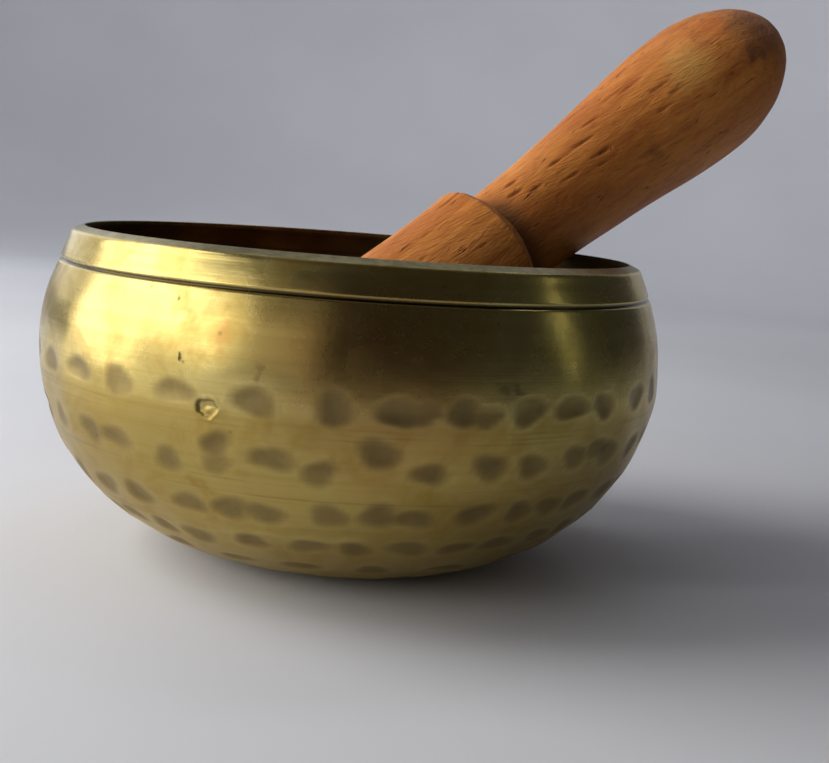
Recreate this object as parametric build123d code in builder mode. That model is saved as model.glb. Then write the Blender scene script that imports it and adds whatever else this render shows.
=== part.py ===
"""Hand-hammered singing bowl with its turned wooden striker standing in it.

Millimetres, +Z up. The origin is the centre of the bowl's flat foot.
There are two separate pieces: the brass bowl, and the striker that leans on its lip.
"""
import os
from math import cos, radians, sin, sqrt

from build123d import *

# ---------------------------------------------------------------- bowl sizes
BELLY_RADIUS = 45.0        # widest radius of the bowl
BELLY_HEIGHT = 29.2        # height of the widest ring above the foot
FOOT_RADIUS = 13.5         # flat disc that the bowl stands on
LIP_OUTER_RADIUS = 40.95   # outer edge of the lip
LIP_OUTER_HEIGHT = 44.7
LIP_INNER_RADIUS = 39.15   # inner edge of the lip, which is the higher one
LIP_INNER_HEIGHT = 45.45
LIP_ROUNDING = 0.25        # worn radius on both edges of the lip

WALL = 2.3                 # wall thickness at the belly
FLOOR = 2.6                # thickness above the foot

GROOVE_HEIGHT = 40.9       # centre of the turned groove below the lip
GROOVE_WIDTH = 0.8
GROOVE_DEPTH = 0.35

# ------------------------------------------------------------- striker sizes
HANDLE_RADIUS = 11.0       # the plain part, which stands inside the bowl
HANDLE_LENGTH = 63.0       # from the shoulder down to the lower end
HANDLE_END = 9.0           # length of the rounding at the lower end
HANDLE_END_RADIUS = 4.0    # flat left in the middle of the lower end
SHOULDER_ROUNDING = 2.2    # length of the rounding at the shoulder
SHOULDER_RADIUS = 8.9      # where that rounding stops

NECK_RADIUS = 8.4          # thinnest part, just above the shoulder
HEAD_RADIUS = 12.1         # thickest part, near the striking end
HEAD_MIDDLE_RADIUS = 10.05
HEAD_ROUND_RADIUS = 10.5   # halfway round the striking end
TIP_RADIUS = 7.1           # radius of the ball that closes the striking end
TIP_ANGLE = radians(40.0)  # how far from the stick's axis that ball reaches
HEAD_MIDDLE = 27.0         # distances from the shoulder along the stick
HEAD_WIDEST = 51.0
HEAD_ROUND = 61.3
HEAD_TIP = 71.7

# ----------------------------------------------------- the striker's own place
SHOULDER = Vector(20.8, 11.0, 45.4)   # centre of the shoulder
HEADING = radians(33.0)    # the way the stick points, counted from +X
RISE = radians(34.0)       # how steeply it rises

STICK = Vector(cos(RISE) * cos(HEADING), cos(RISE) * sin(HEADING), sin(RISE))
ACROSS = Vector(sin(HEADING), -cos(HEADING), 0)


def upper_wall_radius(height):
    """Outer radius of the wall between the belly and the lip, at a height."""
    rise = LIP_OUTER_HEIGHT - BELLY_HEIGHT
    lean = BELLY_RADIUS - LIP_OUTER_RADIUS
    arc_radius = (rise**2 + lean**2) / (2 * lean)
    return BELLY_RADIUS - arc_radius + sqrt(arc_radius**2 - (height - BELLY_HEIGHT) ** 2)


# ---------------------------------------------------------------- brass bowl
# The wall is a half profile in the XZ plane. Below the belly both faces are
# quarter ellipses that run flat into the foot. Above it they are arcs that
# start upright and lean in to the lip.
with BuildPart() as bowl:
    with BuildSketch(Plane.XZ) as wall_profile:
        with BuildLine():
            Line((0, 0), (FOOT_RADIUS, 0))
            EllipticalCenterArc(
                (FOOT_RADIUS, BELLY_HEIGHT), BELLY_RADIUS - FOOT_RADIUS, BELLY_HEIGHT,
                start_angle=270, arc_size=90,
            )
            TangentArc(
                (BELLY_RADIUS, BELLY_HEIGHT), (LIP_OUTER_RADIUS, LIP_OUTER_HEIGHT), tangent=(0, 1)
            )
            Line((LIP_OUTER_RADIUS, LIP_OUTER_HEIGHT), (LIP_INNER_RADIUS, LIP_INNER_HEIGHT))
            TangentArc(
                (BELLY_RADIUS - WALL, BELLY_HEIGHT), (LIP_INNER_RADIUS, LIP_INNER_HEIGHT),
                tangent=(0, 1),
            )
            EllipticalCenterArc(
                (FOOT_RADIUS, BELLY_HEIGHT), BELLY_RADIUS - FOOT_RADIUS - WALL,
                BELLY_HEIGHT - FLOOR, start_angle=270, arc_size=90,
            )
            Line((FOOT_RADIUS, FLOOR), (0, FLOOR))
            Line((0, FLOOR), (0, 0))
        make_face()
        fillet(wall_profile.vertices().sort_by(Axis.Y)[-2:], LIP_ROUNDING)
    revolve(axis=Axis.Z)

    # The groove is a V whose sides reach past the wall, swept round it.
    groove_bottom = upper_wall_radius(GROOVE_HEIGHT) - GROOVE_DEPTH
    with BuildSketch(Plane.XZ):
        with BuildLine():
            Polyline(
                (groove_bottom, GROOVE_HEIGHT),
                (groove_bottom + 2 * GROOVE_DEPTH, GROOVE_HEIGHT - GROOVE_WIDTH),
                (groove_bottom + 2 * GROOVE_DEPTH, GROOVE_HEIGHT + GROOVE_WIDTH),
                close=True,
            )
        make_face()
    revolve(axis=Axis.Z, mode=Mode.SUBTRACT)
bowl.part.label = "bowl"

# ------------------------------------------------------------ wooden striker
# One turned piece. Its half profile lies in a plane through the stick's axis,
# with the shoulder at zero and the striking end at the far end.
ball_edge = (TIP_RADIUS * sin(TIP_ANGLE), HEAD_TIP - TIP_RADIUS * (1 - cos(TIP_ANGLE)))
stick_plane = Plane(origin=SHOULDER, x_dir=ACROSS, z_dir=ACROSS.cross(STICK))

with BuildPart() as striker:
    with BuildSketch(stick_plane):
        with BuildLine():
            Line((0, -HANDLE_LENGTH), (HANDLE_END_RADIUS, -HANDLE_LENGTH))
            EllipticalCenterArc(
                (HANDLE_END_RADIUS, HANDLE_END - HANDLE_LENGTH), HANDLE_RADIUS - HANDLE_END_RADIUS,
                HANDLE_END, start_angle=270, arc_size=90,
            )
            Line((HANDLE_RADIUS, HANDLE_END - HANDLE_LENGTH), (HANDLE_RADIUS, -SHOULDER_ROUNDING))
            EllipticalCenterArc(
                (SHOULDER_RADIUS, -SHOULDER_ROUNDING), HANDLE_RADIUS - SHOULDER_RADIUS,
                SHOULDER_ROUNDING, start_angle=0, arc_size=90,
            )
            Line((SHOULDER_RADIUS, 0), (NECK_RADIUS, 0))
            Spline(
                (NECK_RADIUS, 0), (HEAD_MIDDLE_RADIUS, HEAD_MIDDLE), (HEAD_RADIUS, HEAD_WIDEST),
                (HEAD_ROUND_RADIUS, HEAD_ROUND), ball_edge,
                tangents=((0, 1), (-cos(TIP_ANGLE), sin(TIP_ANGLE))),
            )
            TangentArc(
                ball_edge, (0, HEAD_TIP), tangent=(-cos(TIP_ANGLE), sin(TIP_ANGLE))
            )
            Line((0, HEAD_TIP), (0, -HANDLE_LENGTH))
        make_face()
    revolve(axis=Axis(SHOULDER, STICK))
striker.part.label = "striker"

os.makedirs("parts", exist_ok=True)
export_step(bowl.part, "parts/bowl.step")
export_step(striker.part, "parts/striker.step")
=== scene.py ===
from math import asin, cos, pi, radians, sin, sqrt

import bpy
import numpy as np
from mathutils import Matrix, Vector


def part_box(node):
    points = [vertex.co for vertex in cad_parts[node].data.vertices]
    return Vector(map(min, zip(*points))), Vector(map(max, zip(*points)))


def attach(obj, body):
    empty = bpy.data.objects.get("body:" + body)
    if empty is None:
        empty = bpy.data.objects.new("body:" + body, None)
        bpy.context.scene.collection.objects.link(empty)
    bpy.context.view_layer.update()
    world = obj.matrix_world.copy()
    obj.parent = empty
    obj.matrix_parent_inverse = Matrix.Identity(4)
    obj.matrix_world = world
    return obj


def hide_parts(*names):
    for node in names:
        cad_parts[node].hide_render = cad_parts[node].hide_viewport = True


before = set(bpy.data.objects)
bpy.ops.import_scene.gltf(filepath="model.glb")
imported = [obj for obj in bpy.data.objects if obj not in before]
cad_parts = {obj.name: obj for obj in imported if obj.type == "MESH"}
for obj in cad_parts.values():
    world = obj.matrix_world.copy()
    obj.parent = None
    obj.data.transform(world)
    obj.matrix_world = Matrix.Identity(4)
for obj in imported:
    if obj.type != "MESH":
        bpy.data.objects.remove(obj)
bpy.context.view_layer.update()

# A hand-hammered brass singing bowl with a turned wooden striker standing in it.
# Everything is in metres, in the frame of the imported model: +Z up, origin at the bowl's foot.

MM = 0.001

# ------------------------------------------------------------------ bowl sizes
BELLY_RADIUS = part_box("bowl")[1][0]
BELLY_HEIGHT = 29.2 * MM
FOOT_RADIUS = 13.5 * MM
LIP_OUTER = (40.95 * MM, 44.7 * MM)      # radius and height of the lip's outer edge
LIP_INNER = (39.15 * MM, 45.45 * MM)
LIP_ROUNDING = 0.30 * MM
WALL = 2.3 * MM
FLOOR = 2.6 * MM
GROOVE_HEIGHT = 40.9 * MM
GROOVE_WIDTH = 0.8 * MM
GROOVE_DEPTH = 0.35 * MM

# --------------------------------------------------------------- striker sizes
HANDLE_RADIUS = 11.0 * MM
HANDLE_LENGTH = 63.0 * MM
HANDLE_END = 9.0 * MM
HANDLE_END_RADIUS = 4.0 * MM
SHOULDER_ROUNDING = 2.2 * MM
SHOULDER_RADIUS = 8.9 * MM
NECK_RADIUS = 8.4 * MM
HEAD_RADIUS = 12.1 * MM
HEAD_MIDDLE = 27.0 * MM
HEAD_MIDDLE_RADIUS = 10.05 * MM
HEAD_WIDEST = 51.0 * MM                  # distances from the shoulder along the stick
HEAD_TIP = 71.7 * MM

SEEDED_MARKS = 90
FLARE = 0.12 * MM                # the handle's swelling at the shoulder, and its extra on the upper side
UPPER_FLARE = 0.42 * MM
HEAD_FULLNESS = 0.22 * MM

SHOULDER = Vector((20.8, 11.0, 45.4)) * MM
HEADING = radians(33.0)
RISE = radians(34.0)
STICK = Vector((cos(RISE) * cos(HEADING), cos(RISE) * sin(HEADING), sin(RISE)))
SIDE = Vector((-sin(HEADING), cos(HEADING), 0.0))
OVER = STICK.cross(SIDE)


# ---------------------------------------------------------------- mesh helpers
def smoothstep(low, high, value):
    """0 below low, 1 above high, and an S curve between. low may be the larger one."""
    t = np.clip((value - low) / (high - low), 0.0, 1.0)
    return t * t * (3.0 - 2.0 * t)


def ripple(points, wavelength, seed, waves=28):
    """A smooth random field over 3-D points, with about that wavelength and a spread near 1."""
    rng = np.random.default_rng(seed)
    directions = rng.normal(size=(waves, 3))
    directions /= np.linalg.norm(directions, axis=1)[:, None]
    wave_numbers = 2 * pi / wavelength * rng.uniform(0.6, 1.5, waves)
    phases = rng.uniform(0, 2 * pi, waves)
    field = np.zeros(points.shape[:-1])
    for direction, number, phase in zip(directions, wave_numbers, phases):
        field += np.sin(points @ (direction * number) + phase)
    return field * sqrt(2.0 / waves)


def arc(centre, radii, start, end, count=120):
    """Points of an elliptical arc in the (radius, height) plane. Angles are in radians."""
    turn = np.linspace(start, end, count)
    return np.stack([centre[0] + radii[0] * np.cos(turn), centre[1] + radii[1] * np.sin(turn)], 1)


def line(start, end, count=60):
    """Points of a straight run in the (radius, height) plane."""
    share = np.linspace(0, 1, count)[:, None]
    return np.asarray(start) * (1 - share) + np.asarray(end) * share


def corner(before, tip, after, size, count=12):
    """A rounded corner at tip, between the directions of before and after."""
    before, tip, after = (np.asarray(p, float) for p in (before, tip, after))
    start = tip + size * (before - tip) / np.linalg.norm(before - tip)
    end = tip + size * (after - tip) / np.linalg.norm(after - tip)
    share = np.linspace(0, 1, count)[:, None]
    return start * (1 - share) ** 2 + tip * 2 * share * (1 - share) + end * share**2


def resample(outline, spacing):
    """Walks along an outline with steps of spacing(radius, height, distance) metres."""
    steps = np.linalg.norm(np.diff(outline, axis=0), axis=1)
    outline = outline[np.concatenate([[True], steps > 1e-9])]
    run = np.concatenate([[0], np.cumsum(np.linalg.norm(np.diff(outline, axis=0), axis=1))])
    fine = np.linspace(0, run[-1], 6000)
    radius = np.interp(fine, run, outline[:, 0])
    height = np.interp(fine, run, outline[:, 1])
    density = 1.0 / spacing(radius, height, fine)
    count_so_far = np.concatenate([[0], np.cumsum((density[1:] + density[:-1]) / 2 * np.diff(fine))])
    rows = int(round(count_so_far[-1]))
    at = np.interp(np.linspace(0, count_so_far[-1], rows + 1), count_so_far, fine)
    return np.interp(at, run, outline[:, 0]), np.interp(at, run, outline[:, 1]), at


def normals_of(radius, height):
    """Unit normals of an outline, to the right of its direction of travel."""
    along_r = np.gradient(radius)
    along_h = np.gradient(height)
    length = np.hypot(along_r, along_h) + 1e-12
    return along_h / length, -along_r / length


def spread_angles(spacing):
    """Angles once round, with steps of spacing(angle) radians."""
    fine = np.linspace(-pi, pi, 8000)
    density = 1.0 / spacing(fine)
    so_far = np.concatenate([[0], np.cumsum((density[1:] + density[:-1]) / 2 * np.diff(fine))])
    count = int(round(so_far[-1]))
    return np.interp(np.arange(count) / count * so_far[-1], so_far, fine)


def turned_mesh(name, points, first_pole, last_pole, masks):
    """A closed skin from rings of points, shape (rings, around, 3), and a point at each end.

    masks maps an attribute's name to its value at every ring point; the two poles repeat the
    value next to them.
    """
    rings, around = points.shape[:2]
    coords = np.concatenate([points.reshape(-1, 3), [first_pole], [last_pole]])
    index = np.arange(rings * around).reshape(rings, around)
    nxt = np.roll(index, -1, axis=1)
    quads = np.stack([index[:-1], nxt[:-1], nxt[1:], index[1:]], -1).reshape(-1, 4)
    first = np.stack([np.full(around, rings * around), nxt[0], index[0]], -1)
    last = np.stack([np.full(around, rings * around + 1), index[-1], nxt[-1]], -1)
    mesh = bpy.data.meshes.new(name)
    mesh.from_pydata(coords.tolist(), [], quads.tolist() + first.tolist() + last.tolist())
    for mask, values in masks.items():
        layer = mesh.attributes.new(mask, "FLOAT", "POINT")
        flat = np.concatenate([values.reshape(-1), [values[0, 0]], [values[-1, 0]]])
        layer.data.foreach_set("value", flat.astype(np.float32))
    mesh.shade_smooth()
    mesh.validate()
    piece = bpy.data.objects.new(name, mesh)
    bpy.context.scene.collection.objects.link(piece)
    return piece


# ------------------------------------------------------------------ bowl shape
def bowl_outline():
    """The wall's section from the middle of the foot, up the outside and down the inside."""
    rise, lean = LIP_OUTER[1] - BELLY_HEIGHT, BELLY_RADIUS - LIP_OUTER[0]
    outer = (rise**2 + lean**2) / (2 * lean)
    rise, lean = LIP_INNER[1] - BELLY_HEIGHT, BELLY_RADIUS - WALL - LIP_INNER[0]
    inner = (rise**2 + lean**2) / (2 * lean)
    outer_centre = (BELLY_RADIUS - outer, BELLY_HEIGHT)
    inner_centre = (BELLY_RADIUS - WALL - inner, BELLY_HEIGHT)
    up = arc(outer_centre, (outer, outer), 0, asin((LIP_OUTER[1] - BELLY_HEIGHT) / outer))
    down = arc(inner_centre, (inner, inner), asin((LIP_INNER[1] - BELLY_HEIGHT) / inner), 0)
    size = 1.3 * LIP_ROUNDING
    up = up[np.linalg.norm(up - np.array(LIP_OUTER), axis=1) > size]
    down = down[np.linalg.norm(down - np.array(LIP_INNER), axis=1) > size]
    lower = (BELLY_RADIUS - FOOT_RADIUS, BELLY_HEIGHT)
    lower_inside = (BELLY_RADIUS - FOOT_RADIUS - WALL, BELLY_HEIGHT - FLOOR)
    return np.concatenate([
        line((0.4 * MM, 0), (FOOT_RADIUS, 0)),
        arc((FOOT_RADIUS, BELLY_HEIGHT), lower, -pi / 2, 0),
        up,
        corner(up[-1], LIP_OUTER, LIP_INNER, size),
        corner(LIP_OUTER, LIP_INNER, down[0], size),
        down,
        arc((FOOT_RADIUS, BELLY_HEIGHT), lower_inside, 0, -pi / 2),
        line((FOOT_RADIUS, FLOOR), (0.4 * MM, FLOOR)),
    ])


# Each row of dents: its height, how much it climbs per degree, and the angles of its dents on
# the front, counted from straight ahead towards the right. Dents that touch run into one.
DENT_ROWS = (
    (28.7 * MM, 0.006 * MM, (-60, -49, -38, -27, -14, -2, 7, 17, 28, 37, 45, 56)),
    (21.5 * MM, 0.010 * MM, (-58, -47, -40, -29, -20, -11, -4, 5, 13, 23, 31, 40)),
    (14.7 * MM, 0.020 * MM, (-49, -39, -27, -19, -13, -2, 6, 12, 23, 32, 39, 46)),
    (9.7 * MM, 0.015 * MM, (-38, -29, -17, -6, 3, 13, 23, 32, 43)),
    (5.4 * MM, 0.0, (-41, -24, -9, 8, 26, 44)),
    (2.4 * MM, 0.0, (-35, -10, 17, 42)),
)
STRAY = {-29: -1.4, -20: 1.4, -11: 0.5, -4: -0.9, 5: 1.9, 13: -0.6, 40: 0.5}  # second row, mm
FAINT = ((28.5, 11), (28.3, 21), (20.3, -20), (23.2, 45))   # shallow ones: height in mm, angle
DENT_WIDTH = 5.3 * MM
DENT_TALL = 3.7 * MM
DENT_DEPTH = 0.20 * MM
DENT_PITCH = 4.9 * MM            # the least distance between dents out of sight
CHIP_ANGLE = radians(-21.3)      # a casting flaw beside the top row of dents
CHIP_HEIGHT = 27.0 * MM
CHIP_WIDTH = 2.9 * MM
CHIP_TALL = 2.3 * MM
CHIP_DEPTH = 0.32 * MM
CHIP_RIM = 0.10 * MM
OUT_OF_ROUND = 0.10 * MM
BAND_RIPPLE = 0.012 * MM         # the waviness outside, and what the hammer adds to it lower down
LOWER_RIPPLE = 0.030 * MM
INSIDE_RIPPLE = 0.05 * MM
BROW_HEIGHT = 10.8 * MM
BROW_RISE = 0.09 * MM
BROW_WIDTH = 0.42 * MM


def all_dents(wall_heights, wall_radii):
    """Every dent as (angle, height, half width, half height, depth, outline phase, darkness)."""
    rng = np.random.default_rng(11)
    dents = []
    for height, climb, front in DENT_ROWS:
        angles = list(front)
        step = (front[-1] - front[0]) / (len(front) - 1)
        step = max(step, np.degrees(DENT_PITCH / np.interp(height, wall_heights, wall_radii)))
        spare = 360 - (front[-1] - front[0])
        count = int(spare / step)
        for n in range(1, count):
            angles.append(front[-1] + spare * n / count + rng.uniform(-0.22, 0.22) * step)
        for angle in angles:
            turned = (angle + 180) % 360 - 180
            slope = turned if abs(turned) < 60 else 60 * np.sign(turned) * (180 - abs(turned)) / 120
            lift = climb * slope + rng.uniform(-0.25, 0.25) * MM
            if height == DENT_ROWS[1][0]:
                lift += STRAY.get(turned, rng.uniform(-1, 1) * (abs(turned) > 60)) * MM
            wide = DENT_WIDTH / 2 * rng.uniform(0.85, 1.12)
            tall = DENT_TALL / 2 * rng.uniform(0.88, 1.12)
            depth = DENT_DEPTH * rng.uniform(0.7, 1.2)
            dents.append((radians(turned), height + lift, wide, tall, depth, rng.uniform(0, 2 * pi), 1.0))
    for level, angle in FAINT:
        dents.append((radians(angle), level * MM, 2.1 * MM, 1.5 * MM, 0.5 * DENT_DEPTH, 0.0, 0.75))
    return dents


def build_bowl():
    """The bowl's skin: turned wall, dents, chip, hand-made waviness, and masks for its patina and for
    painted shade and highlight.
    """
    outline = bowl_outline()

    def row_spacing(radius, height, run):
        step = np.where(height < 1.0 * MM, 0.9, 0.42) * MM
        inside = run > run_at_lip
        step = np.where(inside, 1.1 * MM, step)
        step = np.where(~inside & (abs(height - GROOVE_HEIGHT) < 0.75 * MM), 0.13 * MM, step)
        step = np.where(~inside & (abs(height - CHIP_HEIGHT) < 1.6 * MM), 0.20 * MM, step)
        return np.where((height > 44.2 * MM), 0.12 * MM, step)

    run_at_lip = np.cumsum(np.linalg.norm(np.diff(outline, axis=0), axis=1))[outline[:, 1].argmax() - 1]
    radius, height, run = resample(outline, row_spacing)
    inside_row = run > run_at_lip
    angles = spread_angles(
        lambda a: np.where(abs(a - CHIP_ANGLE) * BELLY_RADIUS < 1.8 * MM, 0.20, 0.80) * MM / BELLY_RADIUS
    )
    normal_r, normal_h = normals_of(radius, height)
    angle = angles[None, :]
    ring = np.stack([np.sin(angles), -np.cos(angles), np.zeros_like(angles)], 1)
    base = radius[:, None, None] * ring[None] + height[:, None, None] * np.array([0, 0, 1.0])
    normal = normal_r[:, None, None] * ring[None] + normal_h[:, None, None] * np.array([0, 0, 1.0])

    outer_rows = ~inside_row
    height_grid = np.broadcast_to(height[:, None], base.shape[:2])
    outside = outer_rows[:, None] * smoothstep(0.2 * MM, 2.5 * MM, height_grid)
    outside = outside * smoothstep(44.6 * MM, 43.5 * MM, height_grid)

    # the wall was beaten by hand, so it is never quite round
    shape = -OUT_OF_ROUND * outside * (1 + ripple(base, 34 * MM, 3)) / 2
    below_band = smoothstep(33 * MM, 28 * MM, height_grid)
    shape += outside * (BAND_RIPPLE + LOWER_RIPPLE * below_band) * ripple(base, 9 * MM, 4)
    hollow = inside_row[:, None] * smoothstep(44.2 * MM, 40 * MM, height_grid)
    shape += hollow * INSIDE_RIPPLE * ripple(base, 11 * MM, 5)

    # pushed in under the lip, and fuller low on the left and at the belly on the right
    def bulge(level, reach):
        return np.exp(-(((height_grid - level * MM) / (reach * MM)) ** 2))

    left = np.clip(-np.sin(angle), 0, 1)
    right = np.clip(np.sin(angle), 0, 1)
    shape -= outside * MM * bulge(40.5, 3.2) * (0.10 + 0.26 * left)
    shape += outside * MM * (0.28 * left * bulge(13, 6) + 0.22 * right * bulge(26.5, 4))

    # the groove
    groove = np.clip(1 - abs(height_grid - GROOVE_HEIGHT) / (GROOVE_WIDTH / 2), 0, 1)
    groove = groove * outer_rows[:, None]
    shape -= GROOVE_DEPTH * groove

    # the dents
    outer_run, outer_height = run[outer_rows], height[outer_rows]
    dent = np.zeros(base.shape[:2])
    rim_wear_and_highlight = np.zeros(base.shape[:2])
    for centre, level, wide, tall, depth, phase, dark in all_dents(outer_height, radius[outer_rows]):
        rise = run - np.interp(level, outer_height, outer_run)
        rows = np.where(outer_rows & (abs(rise) < 2.2 * tall))[0]
        across = (angle - centre + pi) % (2 * pi) - pi
        across = across * radius[rows, None]
        turn = np.arctan2(rise[rows, None] / tall, across / wide)
        reach = np.hypot(rise[rows, None] / tall, across / wide)
        reach = reach / (1 + 0.12 * np.sin(2 * turn + phase) + 0.09 * np.sin(3 * turn + 2 * phase))
        bowl_in = np.clip(1 - reach**2, 0, 1) ** 1.5
        shape[rows] -= depth * bowl_in
        ridge = np.clip(np.sin(turn), 0, 1) * (level < 12 * MM)      # low dents have a sharp brow
        rim = np.exp(-(((reach - 1.12) / 0.18) ** 2))
        shape[rows] += (0.05 + 0.30 * ridge) * depth * rim
        crisp = 0.66 if level > 26 * MM else 0.48                     # the top row is the clearest
        dent[rows] = np.maximum(dent[rows], dark * smoothstep(1.22, crisp, reach))
        lit_side = radians(24) < centre < radians(60)                # the lit side: rubbed rims, made paler here as painted highlight
        rim_wear_and_highlight[rows] = np.maximum(rim_wear_and_highlight[rows], (0.30 + 0.40 * ridge + 0.45 * lit_side) * rim)

    # a wavy pale brow above the lower dents, a little left of the front
    wave = BROW_HEIGHT + (0.30 * np.sin(21 * angle + 0.5) + 0.16 * np.sin(47 * angle)) * MM
    brow = outside * np.exp(-(((height_grid - wave) / BROW_WIDTH) ** 2))
    brow = brow * smoothstep(radians(-29), radians(-22), angle) * smoothstep(radians(9), radians(2), angle)
    shape += BROW_RISE * brow
    rim_wear_and_highlight = np.maximum(rim_wear_and_highlight, brow)

    # the chip: a shallow flaw with a ragged outline, undercut towards its upper left. Its inner wall is
    # painted dark, most on the upper left, as painted shade.
    rise = run - np.interp(CHIP_HEIGHT, outer_height, outer_run)
    across = (angle - CHIP_ANGLE) * radius[:, None]
    turn = np.arctan2(rise[:, None] / CHIP_TALL, across / CHIP_WIDTH)
    reach = np.hypot(2 * rise[:, None] / CHIP_TALL, 2 * across / CHIP_WIDTH)
    ragged = 0.05 * np.sin(3 * turn - 0.6) + 0.06 * np.sin(5 * turn + 2.0) + 0.03 * np.sin(9 * turn)
    reach = reach / (1 + ragged)
    near = outer_rows[:, None] & (abs(across) < CHIP_WIDTH)
    upper_left = 0.5 + 0.5 * np.cos(turn - radians(145))
    pit = np.where(near, smoothstep(1.02, 0.74, reach), 0)
    lumps = np.where(near, ripple(base, 0.9 * MM, 9), 0)
    shape -= CHIP_DEPTH * pit * (0.50 + 0.45 * upper_left + 0.07 * lumps)
    rim = np.exp(-(((reach - 1.14) / 0.11) ** 2))
    shape += np.where(near, CHIP_RIM * (1.1 - upper_left) * rim, 0)
    # painted shade on the chip's inner wall, darkest on the upper left
    painted_chip_shade = (0.35 + 0.65 * upper_left) * np.exp(-(((reach - 0.88) / 0.13) ** 2))
    chip = np.where(near, painted_chip_shade + 0.25 * pit, 0)

    lip = smoothstep(44.60 * MM, 44.85 * MM, height_grid)
    masks = {
        "dent": dent, "rim_wear_and_highlight": rim_wear_and_highlight * (1 - dent), "groove": groove, "chip": chip, "lip": lip,
        "hollow": inside_row[:, None] * smoothstep(45.2 * MM, 44.6 * MM, height_grid),
    }
    points = base + shape[..., None] * normal
    return turned_mesh("bowl_hammered", points, (0, 0, 0), (0, 0, FLOOR), masks)


# --------------------------------------------------------------- striker shape
def swell(start, end, count=80):
    """A smooth run between two (distance, radius, slope) stations along the stick."""
    (near, near_radius, near_slope), (far, far_radius, far_slope) = start, end
    t, span = np.linspace(0, 1, count), far - near
    radius = (near_radius * (2 * t**3 - 3 * t**2 + 1) + far_radius * (3 * t**2 - 2 * t**3)
              + span * (near_slope * (t**3 - 2 * t**2 + t) + far_slope * (t**3 - t**2)))
    return np.stack([radius, near + span * t], 1)


def striker_outline():
    """The stick's section from its lower end to its striking end; height is along the stick."""
    share = np.linspace(0, 1, 60)
    fall = (1 - share**1.12) ** (1 / 1.12)                          # nearly a straight chamfer
    shoulder = np.stack([SHOULDER_RADIUS + (HANDLE_RADIUS - SHOULDER_RADIUS) * fall,
                         SHOULDER_ROUNDING * (share - 1)], 1)
    neck = swell((0, NECK_RADIUS, 0.0), (HEAD_MIDDLE, HEAD_MIDDLE_RADIUS, 0.090))
    head = swell((HEAD_MIDDLE, HEAD_MIDDLE_RADIUS, 0.090), (HEAD_WIDEST, HEAD_RADIUS, 0.0))
    return np.concatenate([
        line((0.3 * MM, -HANDLE_LENGTH), (HANDLE_END_RADIUS, -HANDLE_LENGTH)),
        arc((HANDLE_END_RADIUS, HANDLE_END - HANDLE_LENGTH),
            (HANDLE_RADIUS - HANDLE_END_RADIUS, HANDLE_END), -pi / 2, 0),
        line((HANDLE_RADIUS, HANDLE_END - HANDLE_LENGTH), (HANDLE_RADIUS, -SHOULDER_ROUNDING)),
        shoulder, neck, head,
        arc((0, HEAD_WIDEST), (HEAD_RADIUS, HEAD_TIP - HEAD_WIDEST), 0, 0.492 * pi),
    ])


# Tool marks and torn grain that stand out, as (angle round the stick, distance from the
# shoulder, length, width, depth). The angle is counted from the stick's left side over its top.
MARKS = (
    (93, -4, 5.0, 1.4, 0.42), (77, -7, 3.0, 0.9, 0.20), (94, -16, 2.5, 1.0, 0.16),
    (110, -12, 2.5, 0.9, 0.16), (127, -16, 3.0, 0.8, 0.16), (107, 6, 4.5, 1.0, 0.30),
    (121, 5, 6.0, 1.0, 0.36), (122, 14, 4.0, 1.0, 0.30), (144, 14, 4.0, 1.0, 0.26),
    (131, 8, 3.0, 0.8, 0.20), (153, 20, 4.0, 0.9, 0.25), (124, 20, 5.0, 1.1, 0.30),
    (144, 21, 4.5, 1.2, 0.34), (111, 34, 6.0, 0.9, 0.24), (105, 31, 5.0, 0.8, 0.22),
    (130, 37, 5.0, 1.0, 0.28), (142, 39, 4.0, 0.9, 0.25), (148, 35, 4.0, 1.0, 0.26),
    (179, 34, 7.0, 1.1, 0.20), (172, 28, 7.0, 1.3, 0.26), (112, 24, 4.0, 0.9, 0.25),
)


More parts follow.
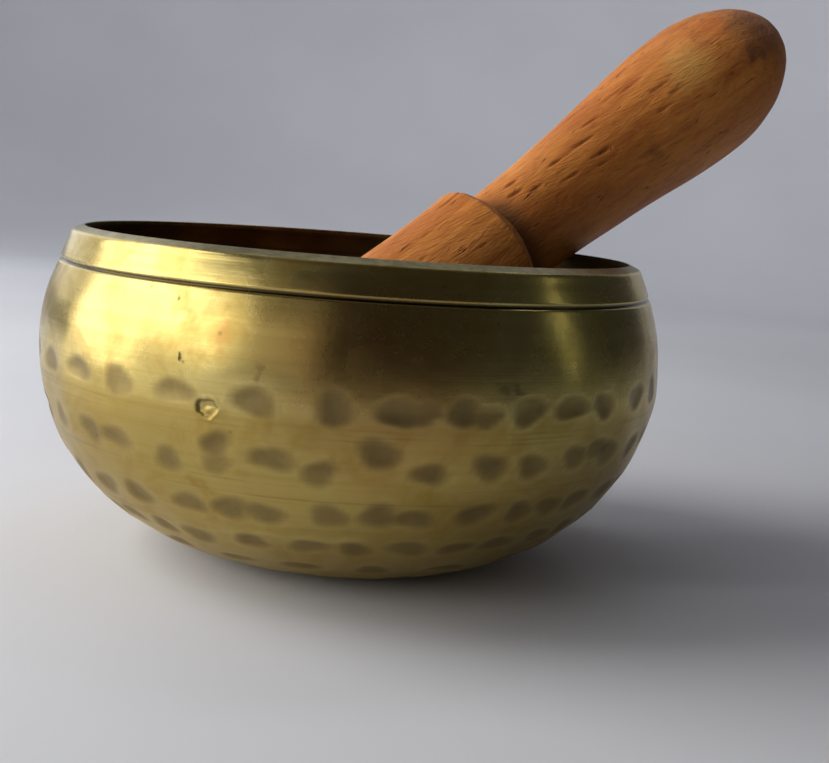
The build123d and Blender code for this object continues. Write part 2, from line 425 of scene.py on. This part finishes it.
def build_striker():
    """The striker's skin: turned outline, tool marks and torn grain."""
    outline = striker_outline()

    def row_spacing(radius, height, run):
        fine = (abs(height) < 0.7 * MM) | (abs(height + SHOULDER_ROUNDING) < 0.7 * MM)
        step = np.where(fine, 0.14, 0.37) * MM
        return np.where(height < -24 * MM, 0.8 * MM, step)

    radius, height, run = resample(outline, row_spacing)
    angles = np.linspace(0, 2 * pi, 272, endpoint=False)
    normal_r, normal_h = normals_of(radius, height)
    axes = np.array([SIDE, OVER, STICK])
    ring = np.cos(angles)[:, None] * axes[0] + np.sin(angles)[:, None] * axes[1]
    base = radius[:, None, None] * ring[None] + height[:, None, None] * axes[2]
    normal = normal_r[:, None, None] * ring[None] + normal_h[:, None, None] * axes[2]
    stretched = base - 0.75 * (base @ axes[2])[..., None] * axes[2]

    # whittled rather than perfectly turned
    shape = 0.08 * MM * ripple(stretched, 14 * MM, 21)
    shape += 0.022 * MM * ripple(stretched, 3.0 * MM, 22)
    # the handle flares a little to the chamfer's corner, most of all on its upper side
    past = -SHOULDER_ROUNDING - height
    flare = np.where(past > 0, np.exp(-np.clip(past, 0, None) / (4.5 * MM)),
                     np.clip(-height / SHOULDER_ROUNDING, 0, 1))
    upper_side = np.exp(-(((angles - radians(86)) / radians(30)) ** 2))
    shape += (FLARE + UPPER_FLARE * upper_side) * flare[:, None]
    shape += HEAD_FULLNESS * smoothstep(48 * MM, 62 * MM, height)[:, None]

    rng = np.random.default_rng(5)
    marks = list(MARKS)
    for _ in range(SEEDED_MARKS):
        marks.append((rng.uniform(0, 360), rng.uniform(-55, 64), rng.uniform(1.5, 5.0),
                      rng.uniform(0.45, 1.1), rng.uniform(0.03, 0.10)))
    torn = np.zeros(base.shape[:2])
    for at, level, length, width, depth in marks:
        across = ((angles - radians(at) + pi) % (2 * pi) - pi)[None, :]
        rows = np.where(abs(height - level * MM) < length * MM)[0]
        across = across * radius[rows, None]
        along = height[rows, None] - level * MM
        slant = across - 0.10 * along
        lengthwise, sideways = along / (length * MM), slant / (width * MM)
        ragged = 1 + 0.25 * np.sin(9 * lengthwise + at) + 0.15 * np.sin(7 * sideways + level)
        reach = np.hypot(2.5 * sideways, 1.8 * lengthwise) / ragged
        cut = np.clip(1 - reach, 0, 1)
        shape[rows] -= depth * MM * smoothstep(0, 1, cut)
        torn[rows] = np.maximum(torn[rows], smoothstep(0.05, 0.8, cut) * min(1.0, depth / 0.30))

    # painted shadow: a dark line in the crease at the shoulder and a dark band on the neck beyond it, on
    # the side away from the light
    painted_shoulder_shadow = np.exp(-((height[:, None] - 0.25 * MM) / (0.6 * MM)) ** 2)
    painted_neck_shadow = np.exp(-((height[:, None] - 0.9 * MM) / (2.3 * MM)) ** 2) * (height[:, None] > 0)
    painted_shoulder_shadow = np.maximum(painted_shoulder_shadow * np.ones_like(torn), painted_neck_shadow * smoothstep(radians(95), radians(130), angles))
    points = np.array(SHOULDER) + base + shape[..., None] * normal
    ends = [np.array(SHOULDER + STICK * h) for h in (-HANDLE_LENGTH, HEAD_TIP)]
    return turned_mesh("striker_turned", points, ends[0], ends[1], {"torn": torn, "painted_shoulder_shadow": painted_shoulder_shadow})


# ------------------------------------------------------------------- materials
class Shader:
    """One node material. Each method adds nodes and returns the socket that carries the result."""

    def __init__(self, name):
        self.material = bpy.data.materials.new(name)
        self.material.use_nodes = True
        self.tree = self.material.node_tree
        self.surface = self.tree.nodes["Principled BSDF"]
        self.place = self.node("ShaderNodeTexCoord").outputs["Object"]

    def feed(self, socket, value):
        if isinstance(value, bpy.types.NodeSocket):
            self.tree.links.new(value, socket)
        elif isinstance(value, tuple) and len(value) == 3 and socket.type == "RGBA":
            socket.default_value = (*value, 1.0)
        else:
            socket.default_value = value

    def node(self, kind, inputs=None, **settings):
        node = self.tree.nodes.new(kind)
        for key, value in settings.items():
            setattr(node, key, value)
        for key, value in (inputs or {}).items():
            self.feed(node.inputs[key], value)
        return node

    def attribute(self, name):
        return self.node("ShaderNodeAttribute", attribute_name=name).outputs["Fac"]

    def math(self, operation, first, second=0.0, clamp=False):
        node = self.node("ShaderNodeMath", {0: first, 1: second}, operation=operation, use_clamp=clamp)
        return node.outputs[0]

    def step(self, value, low, high, out_low=0.0, out_high=1.0):
        """An S curve from out_low, where value is low, to out_high, where it is high."""
        flip = low > high
        inputs = {"Value": value, "From Min": min(low, high), "From Max": max(low, high),
                  "To Min": out_high if flip else out_low, "To Max": out_low if flip else out_high}
        node = self.node("ShaderNodeMapRange", inputs, interpolation_type="SMOOTHSTEP")
        return node.outputs["Result"]

    def scaled(self, vector, scale):
        node = self.node("ShaderNodeVectorMath", {0: vector, 1: scale}, operation="MULTIPLY")
        return node.outputs["Vector"]

    def noise(self, vector, scale, detail=3.0, roughness=0.55, distortion=0.0):
        inputs = {"Vector": vector, "Scale": scale, "Detail": detail, "Roughness": roughness,
                  "Distortion": distortion}
        return self.node("ShaderNodeTexNoise", inputs).outputs["Fac"]

    def cells(self, vector, scale):
        """Distance to the nearest of scattered points."""
        return self.node("ShaderNodeTexVoronoi", {"Vector": vector, "Scale": scale}).outputs["Distance"]

    def mix(self, amount, first, second):
        """first where amount is 0, second where it is 1."""
        node = self.node("ShaderNodeMix", data_type="RGBA")
        for key, value in ((0, amount), (6, first), (7, second)):
            self.feed(node.inputs[key], value)
        return node.outputs[2]

    def spot(self, centre, size, softness=0.5, vector=None):
        """1 inside a ball of that radius round centre, fading out over softness of the radius."""
        inputs = {0: vector or self.place, 1: tuple(centre)}
        node = self.node("ShaderNodeVectorMath", inputs, operation="DISTANCE")
        return self.step(node.outputs["Value"], size, size * (1 - softness))

    def bump(self, height, distance, strength=1.0, below=None):
        inputs = {"Height": height, "Distance": distance, "Strength": strength}
        if below is not None:
            inputs["Normal"] = below
        return self.node("ShaderNodeBump", inputs).outputs["Normal"]


def on_wall(angle, height):
    """The point on the bowl's outside at an angle in degrees and a height in millimetres."""
    rise, lean = LIP_OUTER[1] - BELLY_HEIGHT, BELLY_RADIUS - LIP_OUTER[0]
    upper = (rise**2 + lean**2) / (2 * lean)
    offset = height * MM - BELLY_HEIGHT
    if offset > 0:
        radius = BELLY_RADIUS - upper + sqrt(upper**2 - offset**2)
    else:
        radius = FOOT_RADIUS + (BELLY_RADIUS - FOOT_RADIUS) * sqrt(1 - (offset / BELLY_HEIGHT) ** 2)
    return (radius * sin(radians(angle)), -radius * cos(radians(angle)), height * MM)


def brass_material():
    """Aged brass: turned and rubbed bright on the high parts, olive-brown in the dents, with painted shade
    in the groove and chip, painted highlight on the rims on the lit side and a partly painted reflection at
    the front.
    """
    s = Shader("aged_brass")
    dent, rim_wear_and_highlight, groove = s.attribute("dent"), s.attribute("rim_wear_and_highlight"), s.attribute("groove")
    chip, lip, hollow = s.attribute("chip"), s.attribute("lip"), s.attribute("hollow")
    height = s.node("ShaderNodeSeparateXYZ", {0: s.place}).outputs["Z"]

    cloud = s.noise(s.place, 42.0, 4.0, 0.55, 0.4)
    blotch = s.noise(s.place, 130.0, 5.0, 0.6, 0.6)
    grain = s.noise(s.place, 900.0, 3.0, 0.6)
    turned_fine = s.noise(s.scaled(s.place, (9.0, 9.0, 5200.0)), 1.0, 2.0, 0.6)
    turned_wide = s.noise(s.scaled(s.place, (14.0, 14.0, 1500.0)), 1.0, 3.0, 0.6)
    lower = s.step(height, 0.0290, 0.0258)

    bright = s.mix(s.step(cloud, 0.30, 0.72), (0.66, 0.53, 0.195), (0.55, 0.42, 0.135))
    tarnish = s.mix(s.step(blotch, 0.42, 0.72), bright, (0.42, 0.285, 0.074))
    body = s.mix(s.math("MULTIPLY", s.step(turned_wide, 0.42, 0.70), 0.30), tarnish, (0.36, 0.26, 0.062))
    body = s.mix(s.math("MULTIPLY", lower, 0.55), body, (0.37, 0.245, 0.052))
    # a brown tint on the front middle, partly tarnish and partly a painted dark reflection of the room
    brown_tint_and_reflection = s.spot(on_wall(4, 33), 20 * MM, 0.8)
    body = s.mix(s.math("MULTIPLY", brown_tint_and_reflection, s.step(cloud, 0.30, 0.65, 0.25, 0.75)), body,
                 (0.36, 0.20, 0.062))
    olive = s.spot(on_wall(38, 36), 20 * MM, 0.9)
    body = s.mix(s.math("MULTIPLY", olive, 0.55), body, (0.33, 0.30, 0.095))
    broken = s.noise(s.scaled(s.place, (60.0, 60.0, 900.0)), 1.0, 3.0, 0.6)
    for level in (26.1, 25.4, 24.8, 18.6, 16.8):
        away = s.math("ABSOLUTE", s.math("SUBTRACT", height, level * MM))
        cut = s.math("MULTIPLY", s.step(away, 0.24 * MM, 0.02 * MM), s.step(broken, 0.42, 0.66))
        body = s.mix(s.math("MULTIPLY", cut, 0.32), body, (0.16, 0.11, 0.035))
    # paler dent rims and brow: rubbed wear, with painted highlight added on the lit side
    body = s.mix(s.math("MULTIPLY", rim_wear_and_highlight, 0.40), body, (0.62, 0.50, 0.20))
    darkened = s.math("MULTIPLY", dent, s.step(blotch, 0.25, 0.65, 0.72, 1.0))
    body = s.mix(s.math("MULTIPLY", darkened, 0.82), body, (0.205, 0.148, 0.065))
    specks = s.math("MULTIPLY", s.step(s.cells(s.place, 420.0), 0.16, 0.06), s.step(blotch, 0.52, 0.66))
    body = s.mix(s.math("MULTIPLY", specks, 0.50), body, (0.08, 0.055, 0.025))
    # painted shade: the groove is painted nearly black
    body = s.mix(s.math("MULTIPLY", s.step(groove, 0.10, 0.65), 0.93), body,
                 (0.045, 0.034, 0.016))
    # painted shade: the chip's wall and floor are darkened
    body = s.mix(s.math("MULTIPLY", chip, 0.85), body, (0.09, 0.068, 0.030))
    inside = s.mix(s.step(cloud, 0.35, 0.70), (0.24, 0.175, 0.065), (0.12, 0.085, 0.038))
    inside = s.mix(s.math("MULTIPLY", s.step(turned_wide, 0.45, 0.68), 0.5), inside, (0.085, 0.060, 0.026))
    body = s.mix(hollow, body, inside)
    rubbed = s.mix(s.step(grain, 0.35, 0.65), (0.33, 0.29, 0.155), (0.23, 0.20, 0.10))
    body = s.mix(lip, body, rubbed)

    # stains and specks that can be pointed at: (angle, height, radius, amount, colour). The noise
    # moves a place by about half its scale, so the centres are moved along with it.
    wobble = s.node("ShaderNodeTexNoise", {"Vector": s.place, "Scale": 700.0, "Detail": 4.0})
    wobble = s.scaled(wobble.outputs["Color"], (0.0026, 0.0026, 0.0026))
    rough_place = s.node("ShaderNodeVectorMath", {0: s.place, 1: wobble}, operation="ADD").outputs["Vector"]
    shift = Vector((0.0013, 0.0013, 0.0013))
    for angle, level, size, amount, colour in (
        (-26.2, 32.7, 0.55, 0.9, (0.05, 0.04, 0.02)),
        (-34.4, 40.0, 0.35, 0.7, (0.09, 0.07, 0.03)),
        (-31.2, 39.7, 0.30, 0.7, (0.09, 0.07, 0.03)),
        (-28.4, 39.2, 0.40, 0.7, (0.09, 0.07, 0.03)),
        (-19.4, 36.6, 1.0, 0.30, (0.46, 0.20, 0.07)),
        (-19.8, 35.2, 1.1, 0.35, (0.46, 0.20, 0.07)),
        (-19.4, 33.8, 0.9, 0.25, (0.46, 0.20, 0.07)),
        (-13.5, 32.3, 0.8, 0.4, (0.24, 0.10, 0.04)),
        (-13.6, 31.4, 0.6, 0.4, (0.24, 0.10, 0.04)),
        (23.6, 31.4, 1.2, 0.45, (0.12, 0.08, 0.035)),
        (25.8, 31.2, 1.1, 0.45, (0.12, 0.08, 0.035)),
        (4.0, 36.0, 2.6, 0.30, (0.30, 0.13, 0.06)),
    ):
        spot = s.spot(Vector(on_wall(angle, level)) + shift, size * MM, 0.6, rough_place)
        body = s.mix(s.math("MULTIPLY", spot, amount), body, colour)

    s.feed(s.surface.inputs["Base Color"], body)
    s.surface.inputs["Metallic"].default_value = 1.0
    s.surface.inputs["Anisotropic"].default_value = 0.5          # the lathe's marks run round it
    s.surface.inputs["Anisotropic Rotation"].default_value = 0.25
    rough = s.step(blotch, 0.30, 0.75, 0.23, 0.34)
    rough = s.math("ADD", rough, s.math("MULTIPLY", dent, 0.16))
    rough = s.math("ADD", rough, s.math("MULTIPLY", lower, 0.10))
    rough = s.math("ADD", rough, s.math("MULTIPLY", hollow, 0.12))
    s.feed(s.surface.inputs["Roughness"], s.math("ADD", rough, s.math("MULTIPLY", lip, 0.12), clamp=True))

    raised = s.math("SUBTRACT", 1.0, s.math("MULTIPLY", dent, 0.85))
    raised = s.math("MULTIPLY", raised, s.math("ADD", 0.30, s.math("MULTIPLY", lower, 0.70)))
    lines = s.math("MULTIPLY", s.math("ADD", turned_fine, turned_wide), raised)
    normal = s.bump(lines, 0.00003, 0.40)
    normal = s.bump(grain, 0.00003, 0.35, normal)
    s.feed(s.surface.inputs["Normal"], normal)
    return s.material


def wood_material():
    """Bare orange-brown hardwood with dark pores and streaks along the stick, painted shade on the head's
    far end and a painted shadow under the shoulder.
    """
    s = Shader("turned_wood")
    torn, painted_shoulder_shadow = s.attribute("torn"), s.attribute("painted_shoulder_shadow")
    from_shoulder = s.node("ShaderNodeVectorMath", {0: s.place, 1: tuple(SHOULDER)}, operation="SUBTRACT")
    parts = []
    for axis in (SIDE, OVER, STICK):
        inputs = {0: from_shoulder.outputs["Vector"], 1: tuple(axis)}
        parts.append(s.node("ShaderNodeVectorMath", inputs, operation="DOT_PRODUCT").outputs["Value"])
    grain_place = s.node("ShaderNodeCombineXYZ", dict(zip("XYZ", parts))).outputs["Vector"]

    figure = s.noise(s.scaled(grain_place, (170.0, 170.0, 34.0)), 1.0, 4.0, 0.55, 0.8)
    streaks = s.noise(s.scaled(grain_place, (900.0, 900.0, 60.0)), 1.0, 3.0, 0.6, 0.3)
    leaning = {"Vector": grain_place, "Angle": 0.28}                # the grain runs a little aslant
    leaning = s.node("ShaderNodeVectorRotate", leaning, rotation_type="Y_AXIS").outputs["Vector"]
    fibres = s.noise(s.scaled(leaning, (3200.0, 3200.0, 260.0)), 1.0, 2.0, 0.6)
    pores = s.noise(s.scaled(grain_place, (2100.0, 2100.0, 330.0)), 1.0, 1.0, 0.4, 0.6)
    blotch = s.noise(s.scaled(grain_place, (75.0, 75.0, 45.0)), 1.0, 3.0, 0.5)
    curl = s.noise(s.scaled(leaning, (700.0, 700.0, 200.0)), 1.0, 4.0, 0.65, 1.2)

    body = s.mix(s.step(figure, 0.32, 0.70), (0.61, 0.228, 0.044), (0.43, 0.130, 0.023))
    body = s.mix(s.step(blotch, 0.42, 0.72), body, (0.64, 0.250, 0.055))
    body = s.mix(s.math("MULTIPLY", s.step(streaks, 0.50, 0.74), 0.55), body, (0.33, 0.090, 0.022))
    body = s.mix(s.math("MULTIPLY", s.step(curl, 0.55, 0.75), 0.40), body, (0.68, 0.275, 0.070))
    body = s.mix(s.math("MULTIPLY", s.step(fibres, 0.45, 0.75), 0.28), body, (0.28, 0.080, 0.022))
    pore_mask = s.step(pores, 0.68, 0.78)
    body = s.mix(s.math("MULTIPLY", pore_mask, 0.55), body, (0.15, 0.042, 0.014))
    mottle = s.noise(s.scaled(grain_place, (420.0, 420.0, 190.0)), 1.0, 4.0, 0.6, 0.8)
    body = s.mix(s.math("MULTIPLY", s.step(mottle, 0.50, 0.72), 0.45), body, (0.36, 0.100, 0.030))
    body = s.mix(s.math("MULTIPLY", torn, 0.48), body, (0.22, 0.060, 0.016))
    # painted shadow at the shoulder and on the neck
    body = s.mix(s.math("MULTIPLY", painted_shoulder_shadow, 0.72), body, (0.085, 0.036, 0.017))

    # patches that can be pointed at: (angle round the stick, distance, radius, amount, colour)
    wobble = s.node("ShaderNodeTexNoise", {"Vector": grain_place, "Scale": 260.0, "Detail": 3.0})
    wobble = s.scaled(wobble.outputs["Color"], (0.005, 0.005, 0.010))
    patch_place = s.node("ShaderNodeVectorMath", {0: grain_place, 1: wobble}, operation="ADD")
    patch_place = patch_place.outputs["Vector"]
    for at, level, radius, amount, colour in (
        (132, 44, 6.5, 0.50, (0.62, 0.36, 0.095)),
        (117, 54, 5.5, 0.50, (0.60, 0.14, 0.022)),
        (156, 57, 2.8, 0.80, (0.08, 0.032, 0.016)),
        # painted shade: the dark patch on the upper right of the head's far end
        (146, 62, 10.0, 0.72, (0.20, 0.075, 0.026)),
        (173, 29, 4.0, 0.55, (0.14, 0.045, 0.016)),
        (122, -4, 4.5, 0.45, (0.50, 0.12, 0.022)),
    ):
        reach = (HEAD_RADIUS if level > 20 else NECK_RADIUS)
        centre = Vector((reach * cos(radians(at)), reach * sin(radians(at)), level * MM))
        centre += Vector((0.0025, 0.0025, 0.005))
        spot = s.spot(centre, radius * MM, 0.9, patch_place)
        body = s.mix(s.math("MULTIPLY", spot, amount), body, colour)

    s.feed(s.surface.inputs["Base Color"], body)
    rough = s.step(fibres, 0.30, 0.75, 0.48, 0.66)
    rough = s.math("ADD", rough, s.math("MULTIPLY", pore_mask, 0.2), clamp=True)
    s.feed(s.surface.inputs["Roughness"], rough)
    s.surface.inputs["Specular IOR Level"].default_value = 0.22
    height = s.math("SUBTRACT", s.math("ADD", s.math("MULTIPLY", fibres, 0.5), curl), pore_mask)
    s.feed(s.surface.inputs["Normal"], s.bump(height, 0.00026, 0.85))
    return s.material


def floor_material():
    """Plain pale matt paper."""
    s = Shader("pale_floor")
    soft = s.noise(s.place, 6.0, 3.0, 0.5)
    pale = s.mix(s.step(soft, 0.3, 0.7), (0.62, 0.63, 0.68), (0.67, 0.68, 0.73))
    s.feed(s.surface.inputs["Base Color"], pale)
    s.surface.inputs["Roughness"].default_value = 0.9
    s.surface.inputs["Specular IOR Level"].default_value = 0.2
    return s.material


# ---------------------------------------------------------------- stage
def build_floor():
    """A round floor, flat except behind the object, where it sweeps up into a wall."""
    flat, bend, top, around = 0.55, 0.35, 1.3, 96
    wall_half, wall_end = radians(32), radians(50)       # full height out to wall_half, none past wall_end
    section = [(flat, 0.0)]
    for n in range(1, 17):
        turn = n / 16 * pi / 2
        section.append((flat + bend * sin(turn), bend * (1 - cos(turn))))
    section.append((flat + bend, top))
    points = [(0.0, 0.0, 0.0)]
    for radius, height in section:
        for n in range(around):
            turn = 2 * pi * n / around
            wall = float(smoothstep(wall_end, wall_half, abs(turn - pi / 2)))
            points.append((radius * cos(turn), radius * sin(turn), height * wall))
    faces = [(0, 1 + n, 1 + (n + 1) % around) for n in range(around)]
    for ring in range(len(section) - 1):
        for n in range(around):
            here, there = 1 + ring * around + n, 1 + ring * around + (n + 1) % around
            faces.append((here, here + around, there + around, there))
    mesh = bpy.data.meshes.new("floor")
    mesh.from_pydata(points, [], faces)
    mesh.shade_smooth()
    floor = bpy.data.objects.new("floor", mesh)
    bpy.context.scene.collection.objects.link(floor)
    mesh.materials.append(floor_material())


def soft_light(name, place, target, size, power, colour, mirrored=True):
    """A rectangular lamp at place, facing target. size is its width and height.

    A lamp that isn't mirrored lights matt surfaces only, so it makes no highlight on the brass.
    """
    lamp = bpy.data.lights.new(name, "AREA")
    lamp.shape = "RECTANGLE"
    lamp.size, lamp.size_y = size
    lamp.energy = power
    lamp.color = colour
    holder = bpy.data.objects.new(name, lamp)
    holder.location = place
    holder.rotation_euler = (Vector(target) - Vector(place)).to_track_quat("-Z", "Y").to_euler()
    holder.visible_glossy = mirrored
    bpy.context.scene.collection.objects.link(holder)


def build_lights():
    """Window-like lamps round the left side, a thin one on the right, and a dim room."""
    middle = (0, 0, 0.035)
    soft_light("window_left", (-0.42, 0.02, 0.22), middle, (0.31, 0.50), 1.5, (1.0, 0.985, 0.95))
    soft_light("window_left_matt", (-0.43, 0.02, 0.22), middle, (0.31, 0.50), 1.6, (1.0, 0.985, 0.95),
               mirrored=False)
    soft_light("window_front_left", (-0.355, -0.24, 0.16), middle, (0.26, 0.22), 0.58, (1.0, 0.985, 0.95))
    soft_light("room_front_left", (-0.25, -0.54, 0.20), middle, (0.30, 0.30), 0.16, (1.0, 0.95, 0.88))
    soft_light("window_behind", (-0.34, 0.36, 0.25), middle, (0.34, 0.40), 0.45, (0.97, 0.985, 1.0))
    soft_light("gap_right", (0.64, -0.10, 0.22), middle, (0.010, 0.34), 0.047, (1.0, 0.98, 0.72))
    soft_light("fill_top", (-0.15, 0.25, 0.95), middle, (0.9, 0.9), 0.34, (0.95, 0.97, 1.0))
    soft_light("wall_wash", (0.15, 0.35, 0.80), (0.1, 0.95, 0.30), (0.8, 0.2), 2.0, (0.97, 0.98, 1.0))
    world = bpy.data.worlds.new("room")
    world.use_nodes = True
    nodes, links = world.node_tree.nodes, world.node_tree.links
    room = nodes["Background"]
    room.inputs["Color"].default_value = (0.035, 0.035, 0.038, 1)
    seen = nodes.new("ShaderNodeBackground")
    seen.inputs["Color"].default_value = (0.42, 0.43, 0.47, 1)
    path = nodes.new("ShaderNodeLightPath")
    mix = nodes.new("ShaderNodeMixShader")
    links.new(path.outputs["Is Camera Ray"], mix.inputs[0])
    links.new(room.outputs[0], mix.inputs[1])
    links.new(seen.outputs[0], mix.inputs[2])
    links.new(mix.outputs[0], nodes["World Output"].inputs["Surface"])
    bpy.context.scene.world = world


def build_camera():
    """Close in front of the bowl, a little above its lip, looking slightly down and leaning."""
    place = Vector((0.0, -0.1756, 0.0531))
    heading, pitch, lean = radians(3.12), radians(-9.05), radians(4.48)
    ahead = Vector((sin(heading) * cos(pitch), cos(heading) * cos(pitch), sin(pitch)))
    right = Vector((cos(heading), -sin(heading), 0.0))
    up = right.cross(ahead)
    right, up = right * cos(lean) + up * sin(lean), up * cos(lean) - right * sin(lean)
    data = bpy.data.cameras.new("camera")
    data.sensor_width = 36.0
    data.lens = 51.2
    data.clip_start = 0.005
    camera = bpy.data.objects.new("camera", data)
    turn = Matrix((right, up, -ahead)).transposed()
    camera.matrix_world = Matrix.Translation(place) @ turn.to_4x4()
    bpy.context.scene.collection.objects.link(camera)
    bpy.context.scene.camera = camera


bpy.context.scene.view_settings.view_transform = "Standard"
build_camera()
build_floor()
build_lights()

bowl = build_bowl()
bowl.data.materials.append(brass_material())
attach(bowl, "bowl")
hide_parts("bowl")

striker = build_striker()
striker.data.materials.append(wood_material())
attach(striker, "striker")
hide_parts("striker")
